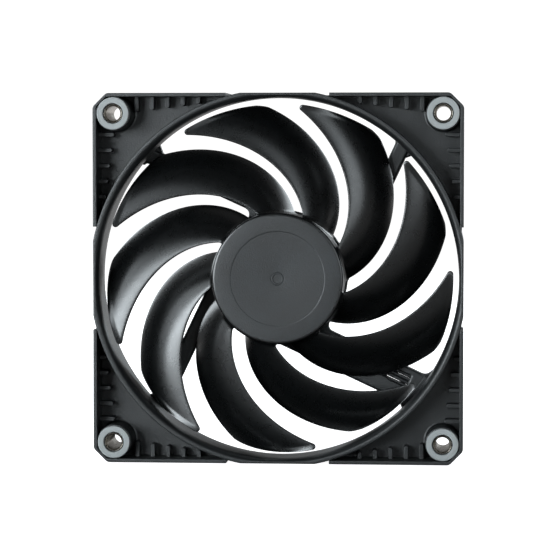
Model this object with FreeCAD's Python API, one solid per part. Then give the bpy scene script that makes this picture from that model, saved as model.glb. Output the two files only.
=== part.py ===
import FreeCAD, Part
import math
import os

# A 140 mm case fan standing upright. The spin axis is Y and the intake side faces -Y, so X is to the
# right and Z up when the fan is looked at from its intake side. The origin is the middle of the fan.
# All lengths are in millimetres and all angles in degrees, counted from +X towards +Z.

V = FreeCAD.Vector
ORIGIN = V(0, 0, 0)
AXIS = V(0, 1, 0)

# Frame
FRAME_HALF = 70.0           # half of the square side
FRAME_Y = 12.0              # half of the moulding's depth
PAD_PROUD = 0.5             # how far the rubber pads stand out of the moulding
CHAMFER = 5.2               # leg of the cut-off corners
RIM_WALL = 1.4
CHAMFER_WALL = 1.0
FLANGE_START = 19.5         # where the corner flanges end at the mid sides
DUCT_R = 68.2
RING_R = 71.4               # outside of the round duct, clipped by the square
LIP_R = 70.3                # where the rounded front lip turns into the bell mouth
BELL_DEPTH = 4.5
FLARE_START = 2.0           # where the duct starts to widen towards the back
FLARE_R = 69.0              # its radius at the back
WEB_FRONT = 1.5             # front face of the web that closes the corner pockets
WEB_BACK = 3.7
FIT = 0.02                  # radial play between pieces that are pushed together

# Corner posts, sleeves and pads
HOLE_PITCH = 124.5
HOLE_R = 2.75
SLEEVE_R = 3.45
SLEEVE_HALF = 11.6
POST_R = 6.5
POST_HALF = 10.5
PAD_R = 6.1
PAD_HOLE_R = 3.83
PAD_EDGE = 0.3

# Comb of ribs along the rim walls of each corner pocket
RIB_FIRST = 54.3            # centre of the rib next to the post
RIB_PITCH = 5.9
RIB_COUNT = 5
RIB_WIDTH = 1.7
RIB_REACH = 7.1             # from the outside of the frame to the tip of the first rib
RIB_REACH_STEP = 0.78       # each next rib is this much shorter
RIB_FRONT = -4.0
RIB_BACK = 9.0

# Struts and the motor base at the back
STRUT_TURNS = (65.0, 155.5, 244.5)
LEAD_TURN = 335.0
STRUT_FRONT = 8.0
STRUT_NEAR = 18.0           # sideways distance of the narrow struts from the axis
STRUT_FAR = 24.0
LEAD_STRUT_NEAR = 10.8
LEAD_STRUT_FAR = 24.1
STRUT_WALL = 1.2
STRUT_INNER = 8.0
STRUT_OUTER = 70.5
STRUT_EDGE = 0.8            # rounding of the long front edges
GUSSET_START = 61.3         # along the strut, where its foot widens at 45 degrees on the far side
GUSSET = 2.6
BASE_FILLET = 2.5           # rounding between a strut's near side and the motor base
DUCT_FILLET = 1.5           # the same at the duct
LEAD_DUCT_FILLET = 3.0      # the same for the wide strut
CHANNEL_INNER = 26.6        # radius where the open channel in a strut's back begins
CHANNEL_OUTER = 67.0
BASE_R = 25.6
BASE_WALL = 1.2
BASE_FRONT = 7.3
BASE_FLOOR = 10.6
LABEL_R = 21.0
LABEL_DEPTH = 0.35
BOSS_R = 8.0
STANDOFF_R = 1.3
STANDOFF_AT = 19.0
STANDOFF_TURNS = (50.0, 170.0, 255.0)

# Leads in the wide strut
LEAD_R = 0.66
LEAD_PITCH = 1.35
LEAD_FIRST = 13.9           # sideways distance of the first lead from the axis
LEAD_COUNT = 4
LEAD_START = 9.5
LEAD_END = 70.4
LEAD_Y = 9.9
BASE_PASSAGE = 15.0         # along the strut, where the leads' way through the base wall begins
LEAD_RIB = (18.8, 19.8)     # rib between the lead channel and the empty half of the strut
WINDOW = (53.0, 61.4)       # along the strut
WINDOW_NEAR = 13.1          # its near side; the far side is at the rib
LEDGE_R = 67.0              # the duct wall is thicker where the leads leave it
LEDGE_TURNS = (-46.3, -34.3)
LEDGE_FRONT = 6.0
CLAMP_START = 66.4
HOOK_FRONT = 10.9

# Impeller
HUB_R = 24.9
HUB_WALL = 2.0
HUB_FRONT = -11.6
HUB_BACK = 6.3
HUB_FACE = 1.8              # thickness of the hub's front wall
HUB_EDGE = 0.9              # radius of its front edge
GROOVE_R = 18.0
GROOVE = 0.3
GATE_R = 2.4
BLADE_COUNT = 9
BLADE_ROOT_R = 23.8
BLADE_TIP_R = 66.2
BLADE_MID_R = 45.0
BLADE_HALF_SPAN = 20.0
LEAD_EDGE_TURN = 15.5       # leading edge of the first blade at the middle radius
LEAD_EDGE_SWEEP = 28.2      # further turn over half a span
TAIL_EDGE_TURN = -16.6
TAIL_EDGE_SWEEP = 28.3
TAIL_EDGE_BEND = 2.2
TAIL_CUT_START = 64.9       # radius where the blunt corner between tip and trailing edge starts to round off
TAIL_CUT = 2.6              # how far it is cut back along the tip
LEAD_EDGE_Y = -8.0
LEAD_EDGE_DROP = 1.3        # the ends of the leading edge lie this much further forward
TAIL_EDGE_Y = 5.0
CAMBER = 0.4                # slope at the leading edge as a share of the mean slope
BLADE_THICK = 1.9
BLADE_THIN = 0.7
FINGER_R = 1.2              # rounding of the sharp corner where the leading edge meets the tip
CHORD_POINTS = 9
SPAN_POINTS = 13

# Motor
SHAFT_R = 1.5
RUNNING_PLAY = 0.03
BEARING_R = 3.5
TUBE_R = 4.5
TUBE_FRONT = -7.5
BEARING_FRONT = -6.4
BEARING_BACK = 6.0
THRUST_FRONT = 9.6
YOKE_WALL = 1.0
YOKE_BACK = 5.8
YOKE_HOLE_R = 4.0
MAGNET_R = 18.9
MAGNET_FRONT = -6.5
MAGNET_BACK = 5.3
CORE_R = 18.3
CORE_FRONT = -4.5
CORE_BACK = 3.5
CORE_RING_R = 7.5
POLE_COUNT = 4
NECK = 4.0
SHOE_DEPTH = 2.2
SHOE_SPAN = 62.0
INSULATOR = 1.0
COIL_START = 8.3
COIL_END = 14.6
COIL_BUILD = 1.9
BOARD_R = 22.6
BOARD_FRONT = 7.4
BOARD_BACK = 8.6


def tube(outer, inner, y0, y1, x=0.0, z=0.0):
    """A round body along Y, with a bore unless inner is zero."""
    body = Part.makeCylinder(outer, y1 - y0, V(x, y0, z), AXIS)
    if inner > 0:
        body = body.cut(Part.makeCylinder(inner, y1 - y0, V(x, y0, z), AXIS))
    return body


def prism(outline, y0, y1):
    """An outline of (x, z) points drawn out along Y."""
    wire = Part.makePolygon([V(x, y0, z) for x, z in outline + outline[:1]])
    return Part.Face(wire).extrude(V(0, y1 - y0, 0))


def block(x0, x1, y0, y1, z0, z1):
    """A box between two values on each axis."""
    return Part.makeBox(x1 - x0, y1 - y0, z1 - z0, V(x0, y0, z0))


def turned(shape, angle):
    """A copy turned about the spin axis, +X towards +Z."""
    copy = shape.copy()
    copy.rotate(ORIGIN, AXIS, -angle)
    return copy


def bar(angle, start, end, near, far, y0, y1):
    """A box that runs outward at an angle, between two distances to the right of that direction."""
    return turned(block(start, end, y0, y1, -far, -near), angle)


def lathe(outline):
    """A closed outline of (radius, y) points spun about the spin axis."""
    wire = Part.makePolygon([V(r, y, 0) for r, y in outline + outline[:1]])
    return Part.Face(wire).revolve(ORIGIN, AXIS, 360)


def corner_places():
    """The four (x, z) hole centres, counted round from the upper right."""
    half = HOLE_PITCH / 2
    return [(half, half), (-half, half), (-half, -half), (half, -half)]


def bell_mouth():
    """The space that rounds the duct's front lip: a quarter ellipse spun about the axis."""
    front = -FRAME_Y
    corner = V(LIP_R, front, 0)
    throat = V(DUCT_R - 0.01, front + BELL_DEPTH, 0)
    reach = LIP_R - DUCT_R
    middle = V(LIP_R - reach * math.sin(math.pi / 4), front + BELL_DEPTH * (1 - math.cos(math.pi / 4)), 0)
    sweep = Part.Arc(corner, middle, throat).toShape()
    inside = [throat, V(0, throat.y, 0), V(0, front - 1, 0), V(LIP_R, front - 1, 0), corner]
    edges = [sweep] + [Part.makeLine(a, b) for a, b in zip(inside, inside[1:])]
    return Part.Face(Part.Wire(Part.__sortEdges__(edges))).revolve(ORIGIN, AXIS, 360)


def duct():
    """The round duct with its rounded lip and flared back, clipped flat where it reaches the square."""
    flare = Part.makeCone(DUCT_R, FLARE_R, FRAME_Y - FLARE_START, V(0, FLARE_START, 0), AXIS)
    body = tube(RING_R, DUCT_R, -FRAME_Y, FRAME_Y).cut([bell_mouth(), flare])
    square = block(-FRAME_HALF, FRAME_HALF, -FRAME_Y, FRAME_Y, -FRAME_HALF, FRAME_HALF)
    return body.common(square)


def pocket(y0, y1):
    """The space inside the rim walls of the upper right corner."""
    inner = FRAME_HALF - RIM_WALL
    cut = 2 * FRAME_HALF - CHAMFER - CHAMFER_WALL * math.sqrt(2) - inner
    outline = [(FLANGE_START, inner), (cut, inner), (inner, cut), (inner, FLANGE_START)]
    return prism(outline + [(FLANGE_START, FLANGE_START)], y0, y1)


def comb():
    """Ribs from both rim walls of the upper right corner, with round ends, shorter towards the mid sides."""
    ribs = []
    for index in range(RIB_COUNT):
        at = RIB_FIRST - RIB_PITCH * index
        tip = FRAME_HALF - RIB_REACH + RIB_REACH_STEP * index + RIB_WIDTH / 2
        half = RIB_WIDTH / 2
        wall = FRAME_HALF - RIM_WALL / 2
        ribs.append(block(at - half, at + half, RIB_FRONT, RIB_BACK, tip, wall))
        ribs.append(tube(half, 0, RIB_FRONT, RIB_BACK, at, tip))
        ribs.append(block(tip, wall, RIB_FRONT, RIB_BACK, at - half, at + half))
        ribs.append(tube(half, 0, RIB_FRONT, RIB_BACK, tip, at))
    return ribs


def corner():
    """The upper right corner of the frame, outside the duct."""
    far = FRAME_HALF
    cut = FRAME_HALF - CHAMFER
    outline = [(FLANGE_START, far), (cut, far), (far, cut), (far, FLANGE_START)]
    body = prism(outline + [(FLANGE_START, FLANGE_START)], -FRAME_Y, FRAME_Y)
    body = body.cut([pocket(-FRAME_Y, WEB_FRONT), pocket(WEB_BACK, FRAME_Y)])
    post_at = HOLE_PITCH / 2
    body = body.fuse(comb() + [tube(POST_R, 0, -POST_HALF, POST_HALF, post_at, post_at)])
    room = 2 * FRAME_Y
    return body.cut([tube(RING_R - 0.5, 0, -room, room), tube(SLEEVE_R + FIT, 0, -room, room, post_at, post_at)])


def strut(angle, near, far):
    """A straight strut beside the spin axis, from the motor base to the duct, open at the back."""
    outside = tube(FLARE_R + 0.8, 0, STRUT_FRONT, FRAME_Y)
    body = bar(angle, STRUT_INNER, STRUT_OUTER, near, far, STRUT_FRONT, FRAME_Y).common(outside)
    body = body.makeFillet(STRUT_EDGE, [edge for edge in body.Edges if is_front_edge(edge)])
    side = -far
    foot = [(GUSSET_START, side), (GUSSET_START + GUSSET, side - GUSSET), (STRUT_OUTER, side - GUSSET)]
    foot += [(STRUT_OUTER, side + 1.0), (GUSSET_START, side + 1.0)]
    gusset = turned(prism(foot, STRUT_FRONT + STRUT_EDGE, FRAME_Y), angle)
    return body.fuse(gusset.common(outside)).removeSplitter()


def fillet_block(angle, near, ring, radius, from_inside):
    """The rounding between a strut's near side and a ring about the axis, which it meets from inside or outside."""
    reach = ring - radius if from_inside else ring + radius
    side = near - radius
    centre = (math.sqrt(reach ** 2 - side ** 2), side)
    first = math.pi / 2
    last = math.atan2(centre[1], centre[0]) + (0 if from_inside else math.pi)
    gap = (last - first + math.pi) % (2 * math.pi) - math.pi
    turns = [first + gap * index / 10 for index in range(11)]
    outline = [(centre[0] + radius * math.cos(turn), centre[1] + radius * math.sin(turn)) for turn in turns]
    deep = ring + 1.6 if from_inside else ring - 0.8
    share = deep / reach
    outline.append((centre[0] * share, centre[1] * share))
    outline.append((math.sqrt(deep ** 2 - (near + 0.6) ** 2), near + 0.6))
    outline.append((centre[0], near + 0.6))
    places = [(along, -across) for along, across in outline]
    return turned(prism(places, STRUT_FRONT + STRUT_EDGE, FRAME_Y), angle)


def is_front_edge(edge):
    """Whether an edge is one of a strut's two long straight front edges."""
    ends = [vertex.Point for vertex in edge.Vertexes]
    flat = all(abs(point.y - STRUT_FRONT) < 1e-6 for point in ends)
    return flat and len(ends) == 2 and isinstance(edge.Curve, Part.Line) and edge.Length > 30


def strut_hollow(angle, near, far):
    """The open channel in the back of a strut."""
    zone = tube(CHANNEL_OUTER, CHANNEL_INNER, STRUT_FRONT, FRAME_Y + 1)
    front = STRUT_FRONT + STRUT_WALL
    return bar(angle, STRUT_INNER, STRUT_OUTER, near, far, front, FRAME_Y + 1).common(zone)


def lead_channel():
    """The way of the leads: from the motor base along the wide strut and out through the duct wall."""
    front = STRUT_FRONT + STRUT_WALL
    near = LEAD_STRUT_NEAR + STRUT_WALL
    far = LEAD_RIB[0]
    inside = bar(LEAD_TURN, BASE_PASSAGE, CHANNEL_INNER, near, far, front, BASE_FLOOR)
    open_part = bar(LEAD_TURN, CHANNEL_INNER - 4.0, STRUT_OUTER + 3.0, near, far, front, FRAME_Y + 1)
    open_part = open_part.cut(tube(BASE_R, 0, STRUT_FRONT, FRAME_Y + 2))
    window = bar(LEAD_TURN, WINDOW[0], WINDOW[1], WINDOW_NEAR, far, STRUT_FRONT - 1, front + 0.1)
    return [inside, open_part, window]


def ledge():
    """The thicker stretch of duct wall where the leads leave it."""
    reach = 2 * FRAME_HALF
    wedge = [(0.0, 0.0)]
    for turn in LEDGE_TURNS:
        wedge.append((reach * math.cos(math.radians(turn)), reach * math.sin(math.radians(turn))))
    return tube(FLARE_R + 0.8, LEDGE_R, LEDGE_FRONT, FRAME_Y).common(prism(wedge, LEDGE_FRONT, FRAME_Y))


def lead_hooks():
    """Two small hooks over the back of the leads, one from each side of the channel."""
    near = LEAD_STRUT_NEAR + STRUT_WALL - 0.2
    middle = (near + LEAD_RIB[0]) / 2
    back = FRAME_Y - 0.1
    first = bar(LEAD_TURN, WINDOW[0] + 1.0, WINDOW[0] + 3.5, near, middle, HOOK_FRONT, back)
    second = bar(LEAD_TURN, WINDOW[1] - 3.0, WINDOW[1] - 0.5, middle + 0.4, LEAD_RIB[0] + 0.2, HOOK_FRONT, back)
    return [first, second]


def standoff_places():
    """Where the circuit board's small supports stand, as (x, z)."""
    turns = [math.radians(turn) for turn in STANDOFF_TURNS]
    return [(STANDOFF_AT * math.cos(turn), STANDOFF_AT * math.sin(turn)) for turn in turns]


def frame():
    """The one-piece moulding: duct, corners, struts and motor base."""
    corners = [turned(corner(), 90 * index) for index in range(4)]
    struts = [strut(angle, STRUT_NEAR, STRUT_FAR) for angle in STRUT_TURNS]
    struts.append(strut(LEAD_TURN, LEAD_STRUT_NEAR, LEAD_STRUT_FAR))
    base = tube(BASE_R, 0, BASE_FRONT, FRAME_Y)
    fillets = []
    for angle in STRUT_TURNS:
        fillets.append(fillet_block(angle, STRUT_NEAR, BASE_R, BASE_FILLET, False))
        fillets.append(fillet_block(angle, STRUT_NEAR, DUCT_R, DUCT_FILLET, True))
    fillets.append(fillet_block(LEAD_TURN, LEAD_STRUT_NEAR, BASE_R, BASE_FILLET, False))
    fillets.append(fillet_block(LEAD_TURN, LEAD_STRUT_NEAR, DUCT_R, LEAD_DUCT_FILLET, True))
    body = duct().fuse(corners + struts + fillets + [base, ledge()])
    hollows = [tube(BASE_R - BASE_WALL, 0, BASE_FRONT - 1, BASE_FLOOR)]
    for angle in STRUT_TURNS:
        hollows.append(strut_hollow(angle, STRUT_NEAR + STRUT_WALL, STRUT_FAR - STRUT_WALL))
    hollows.append(strut_hollow(LEAD_TURN, LEAD_RIB[1], LEAD_STRUT_FAR - STRUT_WALL))
    hollows.append(tube(LABEL_R, 0, FRAME_Y - LABEL_DEPTH, FRAME_Y + 1))
    body = body.cut(hollows + lead_channel())
    inside = [tube(BOSS_R, TUBE_R + FIT, BOARD_BACK, BASE_FLOOR)]
    inside += [tube(STANDOFF_R, 0, BOARD_BACK, BASE_FLOOR, x, z) for x, z in standoff_places()]
    return body.fuse(inside + lead_hooks()).removeSplitter()


def swept_edge(radius):
    """Angle of the first blade's leading edge at a radius, before its tip is rounded."""
    return LEAD_EDGE_TURN + LEAD_EDGE_SWEEP * (radius - BLADE_MID_R) / BLADE_HALF_SPAN


def finger_start():
    """Radius where the rounding of the finger tip begins, and the edge's lean from the tip circle there."""
    lean = math.atan(BLADE_HALF_SPAN / (BLADE_TIP_R * math.radians(LEAD_EDGE_SWEEP)))
    return BLADE_TIP_R - FINGER_R * (1 + math.cos(lean)), lean


def leading_edge(radius):
    """Angle and y of the first blade's leading edge at a radius, with its round finger tip."""
    part = (radius - BLADE_MID_R) / BLADE_HALF_SPAN
    angle = swept_edge(radius)
    start, lean = finger_start()
    if radius > start:
        centre = start * math.radians(swept_edge(start)) - FINGER_R * math.sin(lean)
        above = radius - (BLADE_TIP_R - FINGER_R)
        reach = math.sqrt(max(FINGER_R ** 2 - above ** 2, 0.0))
        angle = math.degrees((centre + reach + (radius - start) * math.radians(swept_edge(start))) / radius)
    return angle, LEAD_EDGE_Y - LEAD_EDGE_DROP * part ** 2


def trailing_edge(radius):
    """Angle and y of the first blade's trailing edge at a radius."""
    part = (radius - BLADE_MID_R) / BLADE_HALF_SPAN
    share = max(radius - TAIL_CUT_START, 0.0) / (BLADE_TIP_R - TAIL_CUT_START)
    cut = math.degrees(TAIL_CUT * share ** 2 / BLADE_TIP_R)
    return TAIL_EDGE_TURN + TAIL_EDGE_SWEEP * part + TAIL_EDGE_BEND * part ** 2 + cut, TAIL_EDGE_Y


def blade_point(radius, chord, side):
    """A point of the blade's skin: chord runs 0 to 1 from the leading edge, side is -1 front, +1 back."""
    lead_turn, lead_y = leading_edge(radius)
    tail_turn, tail_y = trailing_edge(radius)
    angle = math.radians(lead_turn + (tail_turn - lead_turn) * chord)
    y = lead_y + (tail_y - lead_y) * (CAMBER * chord + (1 - CAMBER) * chord ** 2)
    half = (BLADE_THIN + (BLADE_THICK - BLADE_THIN) * math.sqrt(chord * (1 - chord)) * 2) / 2
    run = radius * math.radians(lead_turn - tail_turn)
    slope = (tail_y - lead_y) * (CAMBER + 2 * (1 - CAMBER) * chord) / run
    lean = math.atan(slope)
    angle += side * half * math.sin(lean) / radius
    return V(radius * math.cos(angle), y + side * half * math.cos(lean), radius * math.sin(angle))


def span_radii():
    """Radii of the blade's sections, closer together where the tip is rounded."""
    start, lean = finger_start()
    count = SPAN_POINTS - 6
    radii = [BLADE_ROOT_R + (start - BLADE_ROOT_R) * index / (count - 1) for index in range(count)]
    first = lean - math.pi / 2
    turns = [first + (math.pi / 2 - first) * index / 6 for index in range(1, 7)]
    return radii + [BLADE_TIP_R - FINGER_R + FINGER_R * math.sin(turn) for turn in turns]


def blade():
    """The first blade: front and back skins joined by narrow strips."""
    skins = []
    for side in (-1, 1):
        rows = []
        for radius in span_radii():
            rows.append([blade_point(radius, index / (CHORD_POINTS - 1), side) for index in range(CHORD_POINTS)])
        surface = Part.BSplineSurface()
        surface.interpolate(rows)
        skins.append(surface.toShape())
    strips = []
    for edge in skins[0].Edges:
        middle = edge.CenterOfMass
        partner = min(skins[1].Edges, key=lambda other: other.CenterOfMass.distanceToPoint(middle))
        strips.append(Part.makeRuledSurface(edge, partner))
    shell = Part.makeShell(skins + strips)
    shell.sewShape(0.01)
    solid = Part.makeSolid(Part.makeShell(shell.Faces))
    solid.fix(0.01, 0.01, 0.01)
    return solid


def hub():
    """The cup that carries the blades, with a light groove and the gate mark on its face."""
    inner = HUB_R - HUB_WALL
    outline = [(0, HUB_FRONT), (HUB_R, HUB_FRONT), (HUB_R, HUB_BACK), (inner, HUB_BACK)]
    outline += [(inner, HUB_FRONT + HUB_FACE), (0, HUB_FRONT + HUB_FACE)]
    body = lathe(outline)
    rim = [edge for edge in body.Edges if abs(edge.CenterOfMass.y - HUB_FRONT) < 1e-6 and edge.Closed]
    body = body.makeFillet(HUB_EDGE, rim[:1])
    ring = [(GROOVE_R - GROOVE, HUB_FRONT - 0.1), (GROOVE_R + GROOVE, HUB_FRONT - 0.1), (GROOVE_R, HUB_FRONT + GROOVE)]
    return body.cut([lathe(ring), tube(GATE_R, GATE_R - 0.6, HUB_FRONT - 1, HUB_FRONT + 0.2)])


def impeller():
    """Hub and nine blades in one moulding."""
    first = blade()
    core = tube(HUB_R - HUB_WALL / 2, 0, HUB_FRONT - 1, HUB_BACK + 1)
    blades = [turned(first.cut(core), 360.0 / BLADE_COUNT * index) for index in range(BLADE_COUNT)]
    return hub().fuse(blades)


def yoke():
    """The steel cup pressed into the hub."""
    outer = HUB_R - HUB_WALL - FIT
    front = HUB_FRONT + HUB_FACE
    outline = [(YOKE_HOLE_R, front), (outer, front), (outer, YOKE_BACK), (outer - YOKE_WALL, YOKE_BACK)]
    outline += [(outer - YOKE_WALL, front + YOKE_WALL), (YOKE_HOLE_R, front + YOKE_WALL)]
    return lathe(outline)


def stator_layer(y0, y1, ring_r, neck, shoes):
    """One flat layer of the stator: a ring on the bearing tube with four spokes and, if asked, pole shoes."""
    parts = []
    for index in range(POLE_COUNT):
        spoke = block(0, CORE_R - 0.5 * SHOE_DEPTH, y0, y1, -neck / 2, neck / 2)
        parts.append(turned(spoke, 90 * index))
        if shoes:
            half = SHOE_SPAN / 2
            band = tube(CORE_R, CORE_R - SHOE_DEPTH, y0, y1)
            reach = 2 * CORE_R
            wedge = [(0.0, 0.0)]
            for side in (-half, half):
                wedge.append((reach * math.cos(math.radians(side)), reach * math.sin(math.radians(side))))
            parts.append(turned(band.common(prism(wedge, y0, y1)), 90 * index))
    body = tube(ring_r, 0, y0, y1).fuse(parts)
    return body.cut(tube(TUBE_R + FIT, 0, y0 - 1, y1 + 1)).removeSplitter()


def coil():
    """One winding round a spoke of the stator, its outer edges rounded."""
    half = NECK / 2 + 0.1
    front = CORE_FRONT - INSULATOR - 0.05
    back = CORE_BACK + INSULATOR + 0.05
    build = COIL_BUILD
    body = block(COIL_START, COIL_END, front - build, back + build, -half - build, half + build)
    long_edges = [edge for edge in body.Edges if abs(edge.tangentAt(edge.FirstParameter).x) > 0.99]
    body = body.makeFillet(0.9 * build, long_edges)
    return body.cut(block(COIL_START - 1, COIL_END + 1, front, back, -half, half))


def terminal_pins():
    """Four pins from the rear insulator to the circuit board, between the coils."""
    at = (CORE_RING_R - 0.4) / math.sqrt(2)
    places = [(at, at), (-at, at), (-at, -at), (at, -at)]
    return Part.makeCompound([tube(0.35, 0, CORE_BACK + INSULATOR, BOARD_FRONT, x, z) for x, z in places])


def board():
    """The round circuit board, resting on the base's boss and supports."""
    return tube(BOARD_R, TUBE_R + 0.2, BOARD_FRONT, BOARD_BACK)


def lead_place(index):
    """Sideways distance of a lead from the spin axis."""
    return LEAD_FIRST + LEAD_PITCH * index


def lead(index):
    """One straight lead from under the circuit board to the outside of the duct wall."""
    body = Part.makeCylinder(LEAD_R, LEAD_END - LEAD_START, V(LEAD_START, LEAD_Y, -lead_place(index)), V(1, 0, 0))
    return turned(body, LEAD_TURN)


def solder_joints():
    """The four joints between the board's back and the leads' inner ends."""
    parts = []
    for index in range(LEAD_COUNT):
        at = LEAD_START + 0.8
        joint = tube(0.5, 0, BOARD_BACK, LEAD_Y - LEAD_R, at, -lead_place(index))
        parts.append(turned(joint, LEAD_TURN))
    return Part.makeCompound(parts)


def lead_clamp():
    """The block that fills the notch in the duct wall behind and beside the leads."""
    near = LEAD_STRUT_NEAR + STRUT_WALL + 0.05
    front = STRUT_FRONT + STRUT_WALL
    body = bar(LEAD_TURN, CLAMP_START, LEAD_END, near, LEAD_RIB[0] - 0.05, front, FRAME_Y - 0.1)
    first = lead_place(0) - LEAD_R - 0.05
    return body.cut(bar(LEAD_TURN, CLAMP_START - 1, LEAD_END + 1, first, LEAD_RIB[0], front, LEAD_Y + LEAD_R + FIT))


def pad(x, z, y0, y1):
    """A rubber ring with softened edges."""
    body = tube(PAD_R, PAD_HOLE_R, y0, y1, x, z)
    return body.makeFillet(PAD_EDGE, [edge for edge in body.Edges if edge.Closed])


def motor_parts():
    """The stationary pieces inside the motor, by node name."""
    parts = {}
    parts["bearing_tube"] = tube(TUBE_R, BEARING_R + FIT, TUBE_FRONT, BASE_FLOOR)
    parts["sleeve_bearing"] = tube(BEARING_R, SHAFT_R + RUNNING_PLAY, BEARING_FRONT, BEARING_BACK)
    parts["oil_seal"] = tube(BEARING_R, SHAFT_R + 0.2, TUBE_FRONT + 0.1, BEARING_FRONT)
    parts["thrust_pad"] = tube(BEARING_R, 0, THRUST_FRONT, BASE_FLOOR)
    parts["stator_core"] = stator_layer(CORE_FRONT, CORE_BACK, CORE_RING_R, NECK, True)
    spoke = NECK + 0.1
    parts["front_insulator"] = stator_layer(CORE_FRONT - INSULATOR, CORE_FRONT, CORE_RING_R, spoke, False)
    parts["rear_insulator"] = stator_layer(CORE_BACK, CORE_BACK + INSULATOR, CORE_RING_R, spoke, False)
    for index in range(POLE_COUNT):
        parts["coil_%d" % (index + 1)] = turned(coil(), 90 * index)
    parts["terminal_pins"] = terminal_pins()
    parts["circuit_board"] = board()
    parts["driver_chip"] = turned(block(12.0, 16.9, BOARD_BACK, BOARD_BACK + 1.4, -3.0, 3.0), 110)
    parts["hall_sensor"] = turned(block(18.6, 20.6, BOARD_FRONT - 0.8, BOARD_FRONT, -1.5, 1.5), 45)
    for index, angle in enumerate((205, 235)):
        place = (15.0 * math.cos(math.radians(angle)), 15.0 * math.sin(math.radians(angle)))
        parts["capacitor_%d" % (index + 1)] = tube(1.6, 0, BOARD_BACK, BOARD_BACK + 1.7, *place)
    parts["solder_joints"] = solder_joints()
    return parts


def frame_parts():
    """The frame and what is fixed to it, by node name."""
    parts = {"frame": frame(), "lead_clamp": lead_clamp()}
    parts["rear_label"] = tube(LABEL_R - 0.2, 0, FRAME_Y - LABEL_DEPTH, FRAME_Y - 0.1)
    for index in range(LEAD_COUNT):
        parts["lead_wire_%d" % (index + 1)] = lead(index)
    pad_face = FRAME_Y + PAD_PROUD
    for index, (x, z) in enumerate(corner_places()):
        parts["mount_sleeve_%d" % (index + 1)] = tube(SLEEVE_R, HOLE_R, -SLEEVE_HALF, SLEEVE_HALF, x, z)
        parts["front_pad_%d" % (index + 1)] = pad(x, z, -pad_face, -POST_HALF)
        parts["rear_pad_%d" % (index + 1)] = pad(x, z, POST_HALF, pad_face)
    return parts


def rotor_parts():
    """Everything that spins, by node name."""
    front = HUB_FRONT + HUB_FACE
    clip_front = BEARING_BACK + 0.4
    clip_back = clip_front + 0.4
    shaft = tube(SHAFT_R, 0, front, THRUST_FRONT)
    groove = tube(SHAFT_R + 1, SHAFT_R - 0.25, clip_front, clip_back)
    clip = tube(2.9, SHAFT_R - 0.25 + FIT, clip_front, clip_back)
    clip = clip.cut(block(0, 4, clip_front - 1, clip_back + 1, -0.9, 0.9))
    outer = HUB_R - HUB_WALL - FIT - YOKE_WALL - FIT
    return {
        "impeller": impeller(),
        "rotor_yoke": yoke(),
        "ring_magnet": tube(outer, MAGNET_R, MAGNET_FRONT, MAGNET_BACK),
        "shaft": shaft.cut(groove),
        "shaft_bush": tube(YOKE_HOLE_R - FIT, SHAFT_R + FIT / 2, front, front + 1.8),
        "shaft_clip": clip,
    }


def main():
    """Writes one STEP file for each node."""
    os.makedirs("parts", exist_ok=True)
    parts = {**frame_parts(), **motor_parts(), **rotor_parts()}
    for name, shape in parts.items():
        solids = shape.Solids
        box = shape.BoundBox
        print("%-18s solids %d valid %s volume %9.1f  x %.1f %.1f  y %.1f %.1f  z %.1f %.1f" % (
            name, len(solids), shape.isValid(), shape.Volume,
            box.XMin, box.XMax, box.YMin, box.YMax, box.ZMin, box.ZMax))
        kept = solids[0] if len(solids) == 1 else shape
        kept.exportStep("parts/%s.step" % name)


main()
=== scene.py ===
import bpy
import math
import numpy as np
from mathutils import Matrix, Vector


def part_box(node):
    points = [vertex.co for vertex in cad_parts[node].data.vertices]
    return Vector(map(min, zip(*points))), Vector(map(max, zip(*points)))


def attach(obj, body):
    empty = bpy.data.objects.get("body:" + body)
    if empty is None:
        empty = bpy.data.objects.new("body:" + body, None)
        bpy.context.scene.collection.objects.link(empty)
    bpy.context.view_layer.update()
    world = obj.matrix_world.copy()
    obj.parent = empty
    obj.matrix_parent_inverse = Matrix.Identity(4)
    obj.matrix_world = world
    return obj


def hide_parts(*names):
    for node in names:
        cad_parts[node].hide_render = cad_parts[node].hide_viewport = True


# A 140 mm case fan standing on a white table. Lengths in this script are in millimetres unless a name
# says otherwise, X is to the right, Y to the back and Z up, and the spin axis is Y through the origin.

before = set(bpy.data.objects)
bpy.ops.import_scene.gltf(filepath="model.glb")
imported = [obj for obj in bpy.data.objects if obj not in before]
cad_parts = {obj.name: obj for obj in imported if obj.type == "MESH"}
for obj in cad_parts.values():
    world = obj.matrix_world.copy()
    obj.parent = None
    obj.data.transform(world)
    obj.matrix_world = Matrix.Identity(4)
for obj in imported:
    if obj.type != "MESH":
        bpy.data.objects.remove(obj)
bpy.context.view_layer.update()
rng = np.random.default_rng(7)
MM = 0.001


def box_mm(node):
    """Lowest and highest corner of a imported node, in mm."""
    low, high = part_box(node)
    return np.array(low) / MM, np.array(high) / MM


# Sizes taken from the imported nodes
FRAME_LOW, FRAME_HIGH = box_mm("frame")
HALF = FRAME_HIGH[0]
FRONT = FRAME_LOW[1]
BACK = FRAME_HIGH[1]
HUB_FRONT = box_mm("bearing_tube")[0][1] - 4.1

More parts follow.
